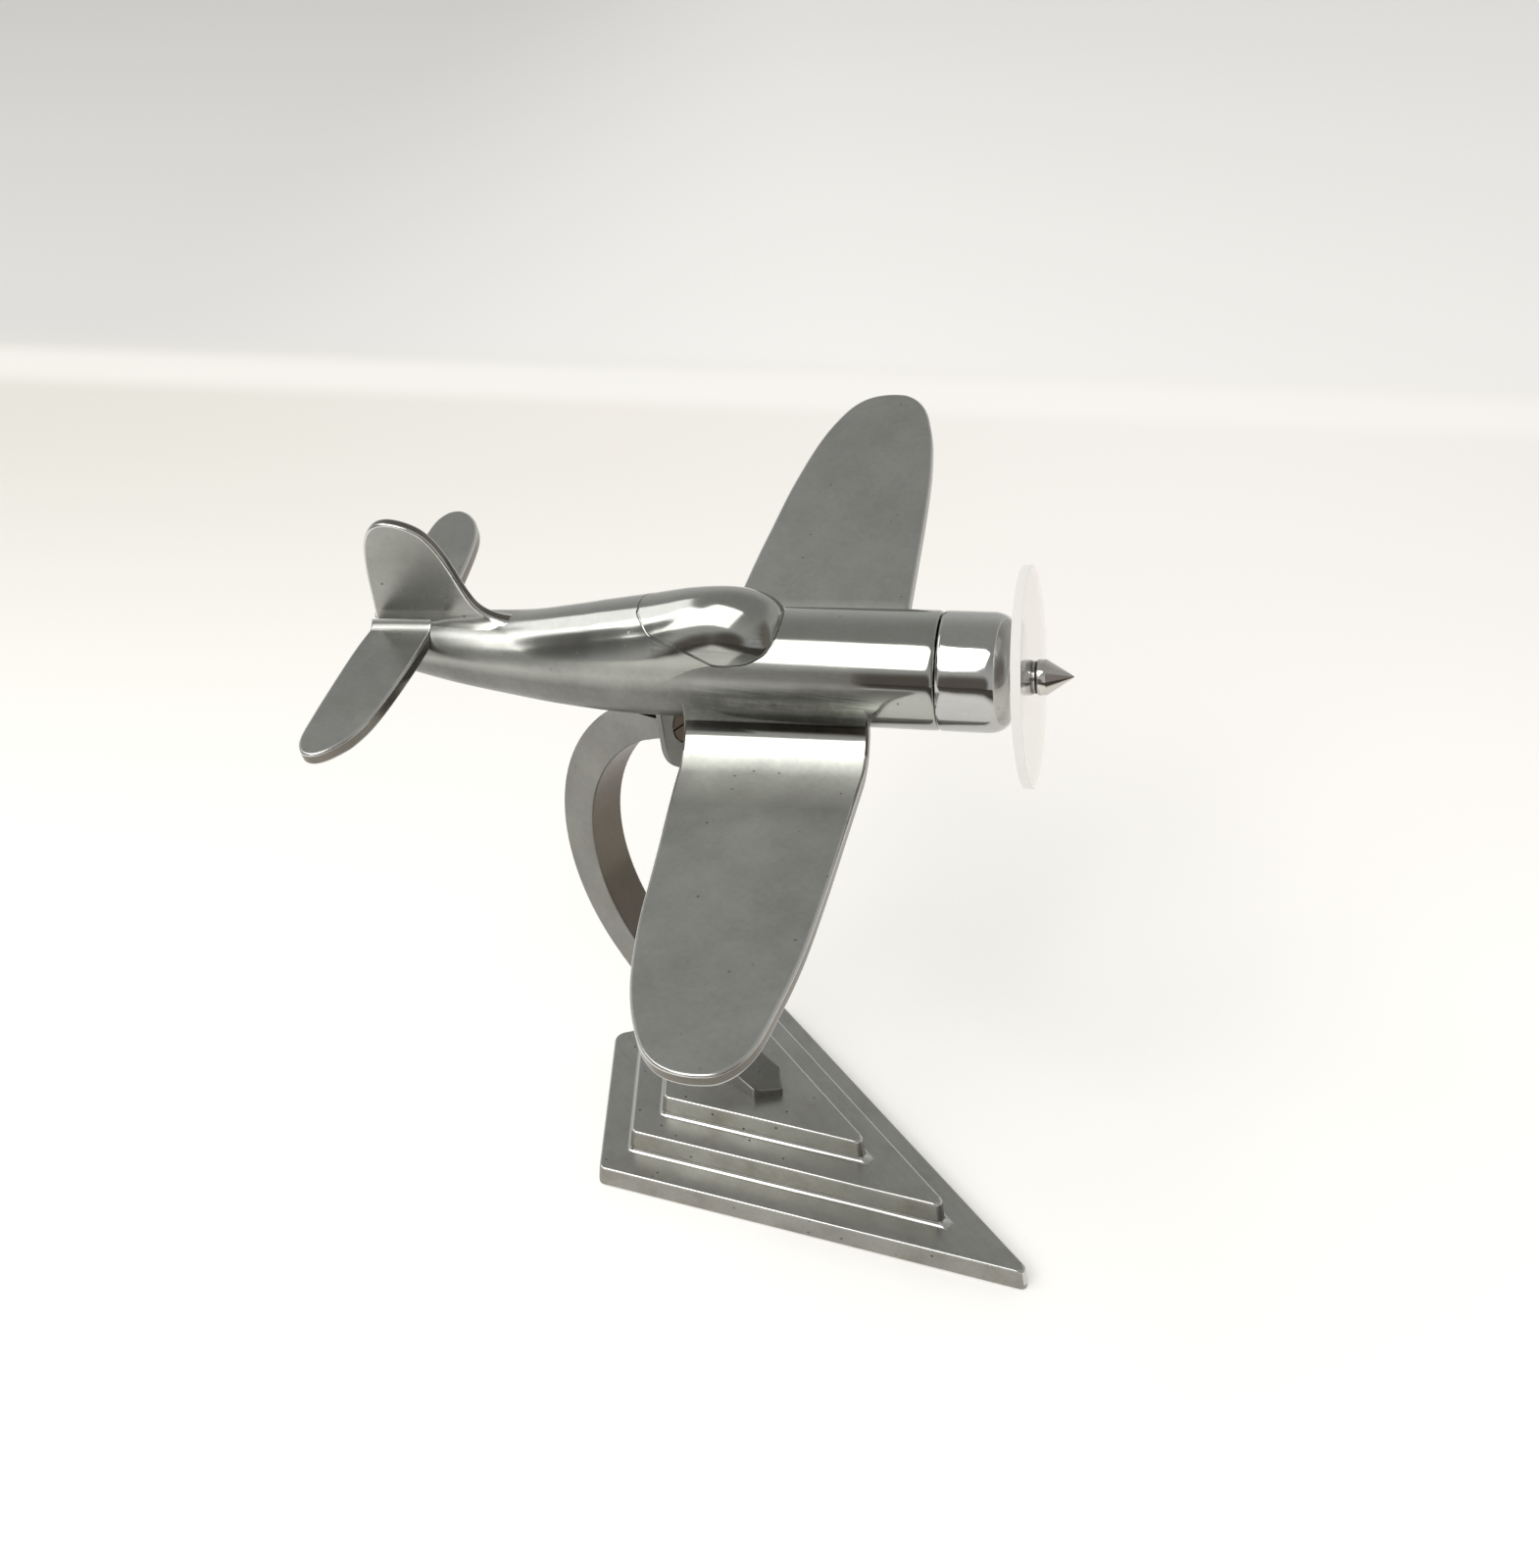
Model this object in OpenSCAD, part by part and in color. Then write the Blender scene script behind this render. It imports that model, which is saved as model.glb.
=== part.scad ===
// Airplane desk sculpture: stepped base, curved arm, one-piece airplane casting, clear propeller disc.
// Millimetres, +Z up. The origin is on the underside, on the base's centre line at its widest station.
// +X runs along the base's centre line towards its sharp tip, +Y to the airplane's port side.

/* [Base] */
// From the widest station forward to the sharp tip
base_front = 154.5; // [120:0.5:190]
// From the widest station back to the rear corner
base_back = 43; // [38:0.5:70]
// Half of the width at the widest station
base_half_w = 56.5; // [50:0.5:80]
// Height of the lowest step, felt included
step1_h = 9.2; // [7:0.1:12]
// Height of the middle step
step2_h = 9.8; // [7:0.1:12]
// Height of the top step
step3_h = 9; // [7:0.1:12]
// How far each step is set in from the one below
step_inset = 11.9; // [9:0.1:13]
// Draft of a step's side over its height
step_draft = 0.6; // [0.2:0.1:1]
// Thickness of the felt sheet let into the underside
felt_t = 1.6; // [1.2:0.1:2]
// How far the felt stands proud of the casting
felt_proud = 0.4; // [0.2:0.1:0.8]
// Width of the casting's rim around the felt
felt_rim = 4; // [3:0.5:8]

/* [Arm] */
// Width of the arm across its flat sides
arm_w = 15.8; // [13:0.1:18]
// Thickness of the arm in its plane of curvature
arm_t = 14; // [12:0.1:16]
// Outer radius of the arm's curve
arm_r = 73.5; // [72:0.1:75]
// Height of the toe's thin front edge
toe_h = 3.8; // [3:0.1:5]

/* [Attitude] */
// Heading of the airplane, turned from the base's centre line
heading = 23.5; // [21:0.1:26]
// Climb of the airplane's reference line
climb = 6.4; // [5:0.1:8]
// Bank, port wing up
bank = 11.3; // [9:0.1:13]
// Tilt of the propeller axis above the reference line
thrust_tilt = 3; // [2:0.1:3.5]

/* [Airplane] */
// Half of the wing span
half_span = 156; // [140:0.5:170]
// Thickness of the wing slab
wing_t = 4.2; // [3.6:0.1:5]
// Dihedral of the wings outside their bent roots
dihedral = 8.8; // [7:0.1:10]
// Radius of the fuselage at the wing
fus_r = 18.4; // [17.6:0.1:19]
// Half of the tailplane's span
tail_half_span = 64; // [55:0.5:72]
// Thickness of the tailplane
tail_t = 4.5; // [3.5:0.1:5.5]
// Thickness of the fin
fin_t = 3.6; // [3:0.1:5]
// Radius of the bend in the upper face of the wing's root
root_bend = 14; // [10:0.5:18]

/* [Propeller] */
// Radius of the clear disc
disc_r = 34; // [30:0.5:38]
// Thickness of the clear disc
disc_t = 3; // [2.5:0.1:3.5]
// Radius of the hub bushing's collar behind the disc
hub_r = 5.2; // [4.7:0.1:5.4]
// Radius of the hub bushing where it is pressed into the disc
sleeve_r = 4; // [3.4:0.1:4.4]
// Largest radius of the pointed nut
nut_r = 5.5; // [5.2:0.1:6.5]
// Length from the disc's front to the nut's point
nut_l = 11.7; // [10:0.1:14]
// Radius of the axle stud
axle_r = 2; // [1.8:0.1:2.4]

/* [Fits] */
// Radial running clearance of the hub on its axle
run_clear = 0.05; // [0.02:0.01:0.09]
// Radial clearance of a screw in its thread or hole
screw_clear = 0.05; // [0.02:0.01:0.2]
// Clearance between the belly and the arm's saddle over the whole travel
saddle_clear = 0.35; // [0.3:0.05:0.6]
// Gap between faces that bear on each other
face_gap = 0.05; // [0.03:0.01:0.1]
// Travel of the airplane on its belly screw, each way
bank_travel = 10; // [4:1:12]
// Radius of the arm screws' and the belly screw's shank
screw_r = 2.5; // [2:0.1:3]

/* [Hidden] */
$fn = 72;
alu = [0.66, 0.66, 0.64];
base_h = step1_h + step2_h + step3_h;
front_a = atan(base_half_w / base_front);
back_a = atan(base_half_w / base_back);
screw_x = [17, 30];
screw_seat_z = 14;
screw_head_r = 4.25;
screw_head_h = 5;
arm_thread = 5;
arm_washer_r = 5;
arm_washer_t = 1;
pocket_r = 5.6;
arm_c = [22.3, 119.5];
arm_ri = arm_r - arm_t;
toe_x = 43.8;
ear_tilt = 8;
ear_pos = [arm_c[0] - 17.7, 0, arm_c[1] + arm_r - 18.7];
air_pos = ear_pos + [100.1, 46.1, 35.5];
ear_r = 11.8;
ear_t = 2.4;
ear_hole_up = 4.6;
recess_r = 7.3;
recess_d = 1.4;
belly_washer_t = 0.35;
belly_head_h = 0.85;
belly_head_r = recess_r - 0.6;
belly_thread = 12;
cowl_split = 28.3;
spigot_r = 10;
spigot_l = 8;
axle_in = 22;
axle_out = 5.5;
thrust_washer_t = 0.6;
front_washer_t = 0.5;
collar_t = 1.5;
nut_back = 0.15 + front_washer_t + 2 * face_gap;
boss_back = disc_t + collar_t + thrust_washer_t + 3 * face_gap;
belly_seat = -recess_d + belly_washer_t + 2 * face_gap;

// A corner of the base's kite with every side moved inwards by q
function kite_tip(q) = [base_front - q / sin(front_a), 0];
function kite_rear(q) = [-base_back + q / sin(back_a), 0];
function kite_side(q, s) =
    let (f = base_front * sin(front_a) - q, r = base_back * sin(back_a) - q,
         d = sin(front_a) * cos(back_a) + cos(front_a) * sin(back_a))
    [(f * cos(back_a) - r * cos(front_a)) / d, s * (r * sin(front_a) + f * sin(back_a)) / d];
tip_corner = 1.4;
rear_corner = 5;
side_corner = 2.5;

module kite_post(p, h, r, draft) translate([p[0], p[1], 0]) cylinder(h = h, r1 = r, r2 = r - draft, $fn = 32);

module kite_step(inset, h, draft) hull() {
    kite_post(kite_tip(inset + tip_corner), h, tip_corner, draft);
    kite_post(kite_rear(inset + rear_corner), h, rear_corner, draft);
    for (s = [-1, 1]) kite_post(kite_side(inset + side_corner, s), h, side_corner, draft);
}

module base_casting() color(alu) difference() {
    translate([0, 0, felt_proud]) union() {
        kite_step(0, step1_h - felt_proud, step_draft);
        kite_step(step_inset, step1_h + step2_h - felt_proud, step_draft);
        kite_step(2 * step_inset, base_h - felt_proud, step_draft);
    }
    translate([0, 0, -1]) kite_step(felt_rim - face_gap, felt_t + face_gap + 1, 0.01);
    for (x = screw_x) translate([x, 0, 0]) {
        cylinder(h = screw_seat_z, r = pocket_r);
        cylinder(h = base_h + 1, r = screw_r + 0.25);
    }
}

module base_felt() color([0.12, 0.22, 0.16]) kite_step(felt_rim, felt_t, 0.01);

// Points of an arc in the arm's plane
function arc(c, r, a0, a1, n) = [for (i = [0:n]) let (a = a0 + (a1 - a0) * i / n) c + r * [cos(a), sin(a)]];

arm_outline = concat(
    arc(arm_c, arm_r, 96, 226, 40),
    [[12.7 - (base_h - 28), base_h]],
    [[toe_x, base_h], [toe_x, base_h + toe_h]],
    arc([42, 58.2 + toe_h], 30, 269, 229, 8),
    arc(arm_c, arm_ri, 229, 96, 40));

module toe_point() linear_extrude(400)
    polygon([[-90, -arm_w / 2], [toe_x - arm_w / 2, -arm_w / 2], [toe_x, 0],
             [toe_x - arm_w / 2, arm_w / 2], [-90, arm_w / 2]]);

// Plane of the airplane's ear: x of the part ends behind it
module ear_frame() translate(ear_pos) rotate([0, 90 - ear_tilt, 0]) rotate([0, 0, 90]) children();

module arm_casting() color(alu) difference() {
    intersection() {
        translate([0, arm_w / 2, 0]) rotate([90, 0, 0]) linear_extrude(arm_w) polygon(arm_outline);
        toe_point();
    }
    ear_frame() translate([-60, -60, -ear_t - face_gap]) cube([120, 120, 60]);
    for (turn = [-1, -0.5, 0, 0.5, 1]) about_belly_screw(turn * bank_travel) place_air() fuselage(saddle_clear);
    for (x = screw_x) translate([x, 0, base_h - 1])
        cylinder(h = arm_thread + 1.6, r = screw_r + screw_clear);
    ear_frame() translate([0, ear_hole_up, -recess_d - belly_thread - 1])
        cylinder(h = belly_thread + 2, r = screw_r + screw_clear);
}

// Turns what it holds about the belly screw
module about_belly_screw(turn) ear_frame() translate([0, ear_hole_up, 0]) rotate([0, 0, turn])
    translate([0, -ear_hole_up, 0]) rotate([0, 0, -90]) rotate([0, ear_tilt - 90, 0]) translate(-ear_pos)
    children();

module arm_screws() color([0.3, 0.3, 0.32])
    for (x = screw_x) translate([x, 0, screw_seat_z - arm_washer_t - 2 * face_gap]) difference() {
        union() {
            translate([0, 0, -screw_head_h]) cylinder(h = screw_head_h, r = screw_head_r);
            cylinder(h = base_h - screw_seat_z + arm_washer_t + arm_thread, r = screw_r);
        }
        translate([0, 0, -screw_head_h - 1]) cylinder(h = 3.5, r = 2.2, $fn = 6);
    }

module arm_washers() color([0.6, 0.6, 0.6])
    for (x = screw_x) translate([x, 0, screw_seat_z - arm_washer_t - face_gap]) difference() {
        cylinder(h = arm_washer_t, r = arm_washer_r);
        translate([0, 0, -1]) cylinder(h = arm_washer_t + 2, r = screw_r + 0.15);
    }

// From the airplane's own frame to the part's frame; the airplane's origin is the disc's front centre
module place_air() translate(air_pos) rotate([bank, -climb, heading]) children();
module place_prop() place_air() rotate([0, 90 - thrust_tilt, 0]) children();

k = fus_r / 18.4;
// Fuselage radius by distance behind the disc, front part and tail part
front_tab = [[6, 13.2], [6.3, 14.6], [7, 16], [8.2, 17.3], [10, 18.2], [13, 18.6], [27.1, 18.6], [28.3, 17.6],
             [29.5, 18.58], [40, 18.58], [60, 18.44], [80, 18.24], [100, 18.07], [120, 17.94], [130, 17.6],
             [140, 16.97], [150, 16.1], [160, 15.14]];
tail_tab = [[0, 15.14], [10, 13.95], [20, 13.25], [30, 12.4], [40, 11.05], [48, 9.6], [54, 7.4], [57.5, 4]];
front_rise = 1.24;
tail_rise = 6.1;

module front_axis() translate([0, 0, 1.25]) rotate([0, front_rise - 90, 0]) children();

module fuselage(grow = 0) {
    front_axis() rotate_extrude(convexity = 4) polygon(concat([[0, cowl_split]],
        [for (p = front_tab) if (p[0] >= cowl_split) [k * p[1] + grow, p[0]]], [[0, 160]]));
    translate([-160, 0, 4.7]) rotate([0, tail_rise - 90, 0]) union() {
        rotate_extrude(convexity = 4)
            polygon(concat([[0, 0]], [for (p = tail_tab) [k * p[1] + grow, p[0]]], [[0, 57.5]]));
        sphere(r = k * 15.14 + grow);
    }
}

// Teardrop canopy, a chain of balls by station, height of centre and radius
canopy_tab = [[-87.5, 14.5, 12.4], [-92, 15.2, 14.3], [-104, 17.4, 13.2], [-113, 21, 9.5], [-119, 23.7, 5.6],
              [-124, 24, 3]];
module canopy() hull() for (c = canopy_tab) translate([c[0], 0, c[1]]) sphere(r = c[2], $fn = 32);

// Leading and trailing edge by span position, the mean of both wings
wing_le = [[0, -47.7], [60, -47.9], [90, -48.1], [110, -48.7], [122, -49.7], [131, -50.9], [138, -52.2],
           [144.5, -53.8], [149.3, -56], [152.8, -58.8], [155.2, -62.3], [156, -66.3]];
wing_te = [[156, -70.5], [155.1, -75], [153.3, -78.8], [150.5, -82], [147, -84.7], [139, -88.9],
           [132.6, -91.5], [123, -94.6], [104, -98.9], [85, -101.9], [70, -104], [55, -106.3], [45, -107.8],
           [34, -109.1], [26, -109.6], [0, -109.4]];
edge_skew = 1.2;
function wing_edges(s) = concat(
    [for (p = wing_le) [p[1] + s * edge_skew * min(1, (156 - p[0]) / 25), s * p[0] * half_span / 156]],
    [for (p = wing_te) [p[1] - s * edge_skew * 0.75 * max(0, min(1, (120 - p[0]) / 50)),
                        s * p[0] * half_span / 156]]);

// Section across a wing: a flat panel whose root bends up to meet the fuselage's side
bend_c = [fus_r - 0.1 + root_bend, 1.5];
panel = half_span + 8 - bend_c[0];
function wing_section() = concat(
    arc(bend_c, root_bend, 180, 270 + dihedral, 14),
    [bend_c + root_bend * [sin(dihedral), -cos(dihedral)] + panel * [cos(dihedral), sin(dihedral)],
     bend_c + (root_bend + wing_t) * [sin(dihedral), -cos(dihedral)] + panel * [cos(dihedral), sin(dihedral)]],
    arc(bend_c, root_bend + wing_t, 270 + dihedral, 180, 14));
module wing(s) intersection() {
    translate([-120, 0, 0]) rotate([90, 0, 90]) linear_extrude(80)
        polygon([for (p = wing_section()) [s * p[0], p[1]]]);
    translate([0, 0, -30]) linear_extrude(60) polygon(wing_edges(s));
}

tail_te = [[0, -217.6], [14, -218.9], [31, -219.3], [45.6, -219.3], [52, -219.1], [57, -218.7], [60, -217.8],
           [62.6, -216], [64, -214], [64.3, -212]];
tail_le = [[63.8, -210], [61.6, -206.8], [57, -202.7], [51.5, -200], [45, -198.3], [27.6, -196.2],
           [11.8, -195.4], [0, -195.2]];
module tailplane() translate([0, 0, 18 - tail_t]) linear_extrude(tail_t) union() for (s = [-1, 1])
    polygon([for (p = concat(tail_te, tail_le)) [p[1], s * p[0] * tail_half_span / 64.3]]);

fin_tab = [[-216.5, 14], [-216.2, 18], [-214.7, 25], [-212.6, 37], [-210.9, 44.5], [-208.7, 51], [-206, 55.6],
           [-203, 57.6], [-199.4, 58.3], [-195.6, 57.8], [-191.6, 56.3], [-188.2, 54], [-185.6, 50.8],
           [-183.4, 45.2], [-181.6, 38], [-180, 31], [-178, 25.6], [-175.2, 22.2], [-171.5, 20], [-167, 18.4],
           [-160, 12], [-200, 6]];
module fin() translate([0, fin_t / 2, 0]) rotate([90, 0, 0]) linear_extrude(fin_t) polygon(fin_tab);

// Round-bottomed ear under the belly; its back bears on the arm's end
module ear() ear_frame() difference() {
    translate([0, 0, -ear_t]) linear_extrude(ear_t) union() {
        circle(r = ear_r);
        translate([-ear_r, 0]) square([2 * ear_r, 16]);
    }
    translate([0, ear_hole_up, -recess_d]) cylinder(h = recess_d + 30, r = recess_r);
    translate([0, ear_hole_up, -ear_t - 1]) cylinder(h = ear_t + 2, r = screw_r + run_clear);
}

// Room for the screw's head and driver in the belly above the ear
module head_room() ear_frame() translate([0, ear_hole_up, -recess_d]) cylinder(h = recess_d + 12, r = recess_r);

module airplane_casting() color(alu) union() {
    difference() {
        place_air() difference() {
            union() {
                fuselage();
                canopy();
                for (s = [-1, 1]) wing(s);
                tailplane();
                fin();
            }
            front_axis() translate([0, 0, cowl_split - 1]) cylinder(h = spigot_l + 1.2, r = spigot_r + face_gap);
        }
        head_room();
        ear_frame() translate([0, ear_hole_up, -ear_t - 1]) cylinder(h = ear_t + 2, r = screw_r + run_clear);
    }
    ear();
}

module nose_cowl() color(alu) place_air() difference() {
    union() {
        front_axis() rotate_extrude(convexity = 4) polygon(concat([[0, 6]],
            [for (p = front_tab) if (p[0] <= cowl_split) [k * p[1], p[0] - (p[0] == cowl_split ? face_gap : 0)]],
            [[spigot_r, cowl_split - face_gap], [spigot_r, cowl_split + spigot_l], [0, cowl_split + spigot_l]]));
        rotate([0, 90 - thrust_tilt, 0]) translate([0, 0, -9]) cylinder(h = 9 - boss_back, r = hub_r - 0.6);
    }
    rotate([0, 90 - thrust_tilt, 0]) translate([0, 0, -axle_in - 1]) cylinder(h = axle_in, r = axle_r + screw_clear);
}

module belly_screw() color([0.55, 0.42, 0.28]) ear_frame() translate([0, ear_hole_up, belly_seat]) difference() {
    union() {
        cylinder(h = belly_head_h, r = belly_head_r);
        translate([0, 0, -belly_thread]) cylinder(h = belly_thread + 0.5, r = screw_r);
    }
    translate([-belly_head_r - 1, -0.6, belly_head_h - 0.4]) cube([2 * belly_head_r + 2, 1.2, 1]);
}

module belly_washer() color([0.5, 0.5, 0.5])
    ear_frame() translate([0, ear_hole_up, belly_seat - face_gap - belly_washer_t]) difference() {
        cylinder(h = belly_washer_t, r = belly_head_r);
        translate([0, 0, -1]) cylinder(h = belly_washer_t + 2, r = screw_r + 0.15);
    }

module prop_axle() color([0.6, 0.6, 0.62]) place_prop() translate([0, 0, -axle_in])
    cylinder(h = axle_in + axle_out, r = axle_r);

module ring(back, t, r, bore) translate([0, 0, back]) difference() {
    cylinder(h = t, r = r);
    translate([0, 0, -1]) cylinder(h = t + 2, r = bore);
}

module thrust_washer() color([0.7, 0.7, 0.7]) place_prop()
    ring(-boss_back + face_gap, thrust_washer_t, hub_r - 0.3, axle_r + 0.15);

module hub_bushing() color([0.75, 0.75, 0.75]) place_prop() difference() {
    union() {
        translate([0, 0, -disc_t - face_gap - collar_t]) cylinder(h = collar_t, r = hub_r);
        translate([0, 0, -disc_t - 1]) cylinder(h = disc_t + 1.15, r = sleeve_r);
    }
    translate([0, 0, -disc_t - collar_t - 1]) cylinder(h = disc_t + collar_t + 3, r = axle_r + run_clear);
}

module prop_disc() color([0.9, 0.93, 0.92, 0.4]) place_prop() translate([0, 0, -disc_t]) difference() {
    cylinder(h = disc_t, r = disc_r, $fn = 120);
    translate([0, 0, -1]) cylinder(h = disc_t + 2, r = sleeve_r + 0.02);
}

module front_washer() color([0.4, 0.4, 0.4]) place_prop()
    ring(0.15 + face_gap, front_washer_t, hub_r - 0.2, axle_r + 0.15);

module spinner_nut() color([0.78, 0.78, 0.78]) place_prop() difference() {
    rotate_extrude() polygon([[0, nut_back], [nut_r - 0.2, nut_back], [nut_r, nut_back + 0.2], [nut_r, 3.6],
                              [0.35, nut_l - 0.3], [0, nut_l]]);
    cylinder(h = axle_out + 0.5, r = axle_r + screw_clear);
}

base_casting();
base_felt();
arm_casting();
arm_screws();
arm_washers();
belly_screw();
belly_washer();
airplane_casting();
nose_cowl();
prop_axle();
thrust_washer();
hub_bushing();
prop_disc();
front_washer();
spinner_nut();
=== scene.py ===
from math import acos, asin, atan, cos, pi, radians, sin, sqrt

import bmesh
import bpy
from bpy.props import FloatProperty, FloatVectorProperty, PointerProperty
from mathutils import Matrix, Vector


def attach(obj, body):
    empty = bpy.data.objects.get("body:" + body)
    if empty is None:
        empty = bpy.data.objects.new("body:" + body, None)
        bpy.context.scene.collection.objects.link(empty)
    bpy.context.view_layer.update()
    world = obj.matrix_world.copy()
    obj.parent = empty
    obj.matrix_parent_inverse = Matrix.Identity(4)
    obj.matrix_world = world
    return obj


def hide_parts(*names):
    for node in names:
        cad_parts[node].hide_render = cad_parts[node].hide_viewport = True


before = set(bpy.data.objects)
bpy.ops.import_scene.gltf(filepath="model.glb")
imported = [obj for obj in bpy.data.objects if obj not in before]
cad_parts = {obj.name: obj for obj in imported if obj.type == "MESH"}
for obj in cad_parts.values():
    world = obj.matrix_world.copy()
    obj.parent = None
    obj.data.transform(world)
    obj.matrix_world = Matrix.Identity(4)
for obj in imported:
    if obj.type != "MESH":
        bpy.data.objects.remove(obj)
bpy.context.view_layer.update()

bl_info = {
    "name": "Airplane desk sculpture",
    "version": (1, 0, 0),
    "blender": (4, 5, 0),
    "location": "View3D > Sidebar > Sculpture",
    "description": "Dresses the airplane desk sculpture's frame with its castings, finishes and studio",
    "category": "Object",
}

MM = 0.001


def turned_by(degrees, axis):
    return Matrix.Rotation(radians(degrees), 4, axis)


# The airplane's own frame: x forward, y to port, z up, origin in front of the disc; millimetres
AIR_PLACE = Vector((104.7, 46.1, 209.8))
AIR_TURN = (11.3, -6.4, 23.5)
THRUST_TILT = 3.0
AIR = (Matrix.Scale(MM, 4) @ Matrix.Translation(AIR_PLACE) @ turned_by(AIR_TURN[2], "Z")
       @ turned_by(AIR_TURN[1], "Y") @ turned_by(AIR_TURN[0], "X"))
PROP = AIR @ turned_by(90 - THRUST_TILT, "Y")
WORLD = Matrix.Scale(MM, 4)
# The ear under the belly: radius of its round end, how far the screw is from that end's middle,
# thickness, rounding, the washer's recess and the screw's hole
EAR_RADIUS, EAR_OFFSET, EAR_THICKNESS, EAR_EDGE = 11.8, 4.6, 2.4, 0.45
EAR_RECESS, EAR_RECESS_DEPTH, EAR_HOLE = 7.3, 1.4, 2.55
# The ear's plane: z along the belly screw, origin where the screw crosses its face
EAR = (Matrix.Translation((4.6, 0, 174.3)) @ turned_by(82, "Y") @ turned_by(90, "Z")
       @ Matrix.Translation((0, EAR_OFFSET, 0)))
# The base's kite: its sharp tip, its blunt end and its half-width, from the widest station
BASE_FRONT, BASE_BACK, BASE_HALF = 154.5, 43.0, 56.5
# Its three steps: inset of the riser, its foot and its top; the rounding of a foot, and how far, in degrees,
# its front sides are turned from its length
BASE_STEPS = [(0.0, 0.9, 9.2), (11.9, 9.2, 19.0), (23.8, 19.0, 28.0)]
BASE_FOOT = 1.8
BASE_SIDE_TURN = 20.1
# Bores in the underside for the screws that hold the arm: places along the base, radius and depth
ARM_SCREWS = (17, 30)
ARM_SCREW_BORE = (5.6, 14)
# How far, in radians, the wing's root leans past its bend
ROOT_LEAN = -0.045
# The tailplane: radius of its bend at the fin, where the bend ends beside the centre line, and its height
STABILIZER_RADIUS, STABILIZER_FOOT, STABILIZER_HEIGHT = 3.5, 1.7, 18.0
# Where the wings begin and end along the fuselage, behind the disc
WING_LEADING, WING_TRAILING = -44, -112
# The middle of the arm's curve, in metres, and how far below it the toe begins
ARM_MIDDLE = Vector((0.0223, 0, 0.1195))
ARM_TOE = -0.082

# Fuselage stations: distance behind the disc, height of centre, radius
FUSELAGE = [(28.38, 1.87, 18.0), (28.55, 1.87, 18.2), (28.9, 1.88, 18.42), (29.5, 1.9, 18.54),
            (31, 1.93, 18.6), (45, 2.2, 18.55), (60, 2.55, 18.44), (80, 2.95, 18.24), (100, 3.4, 18.07),
            (115, 3.75, 17.95), (128, 4.0, 17.65), (140, 4.3, 16.97), (150, 4.55, 16.1), (160, 5.0, 15.14),
            (170, 5.8, 14.1), (180, 6.75, 13.15), (190, 7.5, 11.9), (200, 8.0, 10.1), (208, 8.9, 8.7),
            (213, 9.7, 7.2), (216, 10.4, 5.4), (217.2, 10.75, 3.2)]
# Canopy and spine: distance behind the disc, half-width at the foot, top
CANOPY = [(76.6, 1.2, 21.4), (76.9, 4.2, 22.4), (77.4, 6.9, 23.8), (78.3, 9.3, 25.4), (80.1, 11.5, 27.3),
          (82.5, 12.8, 28.7), (86, 13.9, 30.1), (91, 14.5, 31.1), (98, 14.5, 31.3), (107, 14.5, 30.3),
          (114, 14.5, 28.9), (120, 14.5, 27.7), (127, 14.5, 26.6), (132, 14, 25.8), (137, 14, 25.0),
          (142, 14, 24.1), (147.5, 14, 23.2), (153, 14, 22.3), (158, 13, 21.5), (163, 13, 20.8),
          (168, 12, 20.2), (172, 12, 19.95)]
# The line scribed round the canopy, starboard half: distance behind the disc, from the centre line
SCRIBED = [(121.6, 0.0), (121.3, 2.4), (121.4, 3.9), (119.6, 7.3), (117.2, 10.4), (113.7, 12.1),
           (110.9, 13.0), (105.7, 13.9), (102.0, 14.3), (96.7, 14.5), (91.4, 14.5), (86.0, 13.9),
           (82.5, 12.8), (80.1, 11.5), (78.4, 9.4), (77.5, 7.1), (77.0, 4.4), (76.7, 2.0), (76.6, 0.0)]
# Outlines in the airplane's frame: x and distance from the centre line, or height on the fin
WING_FRONT = [(-47.7, 14), (-47.8, 30), (-47.9, 60), (-48.1, 90), (-48.7, 110), (-49.7, 122), (-50.9, 131),
              (-52.2, 138), (-53.8, 144.5), (-56, 149.3), (-58.8, 152.8), (-62.3, 155.2), (-66.3, 156)]
WING_BACK = [(-70.5, 156), (-75, 155.1), (-78.8, 153.3), (-82, 150.5), (-84.7, 147), (-89, 138.9),
             (-91.6, 132.6), (-94.6, 123), (-98.9, 104), (-101.9, 85), (-104.2, 70), (-106.4, 55),
             (-107.9, 44), (-109.1, 34), (-109.6, 26), (-109.5, 14)]
STABILIZER = [(-195.3, 1), (-195.4, 11.8), (-196.2, 27.6), (-198.3, 45), (-200.0, 51.5), (-202.7, 57),
              (-206.8, 61.6), (-210, 63.6), (-212.5, 64.0), (-215.4, 63), (-217.7, 60), (-218.9, 56),
              (-219.3, 45.6), (-219.3, 31), (-218.9, 14), (-217.6, 1)]
FIN = [(-217.0, 10), (-216.2, 18), (-214.7, 25), (-212.6, 37), (-210.9, 44.5), (-208.7, 51),
       (-206, 55.3), (-203, 57.5), (-199.4, 58.3), (-195.6, 57.8), (-191.6, 56.3), (-188.2, 54),
       (-185.6, 50.4), (-183.4, 45), (-181.6, 38), (-180, 31), (-178, 25.8), (-175.2, 22.9), (-171.5, 21.0),
       (-167, 20.0), (-161, 19.0), (-159, 15), (-166, 10)]


# The finishes by short name, filled in by their operator
MATERIALS = {}


def blend_value(a, b, t):
    return a + (b - a) * t


def fade(value, low, high):
    """How far a value has come on its way from low to high, from 0 to 1."""
    return max(0, min(1, (value - low) / (high - low)))


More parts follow.
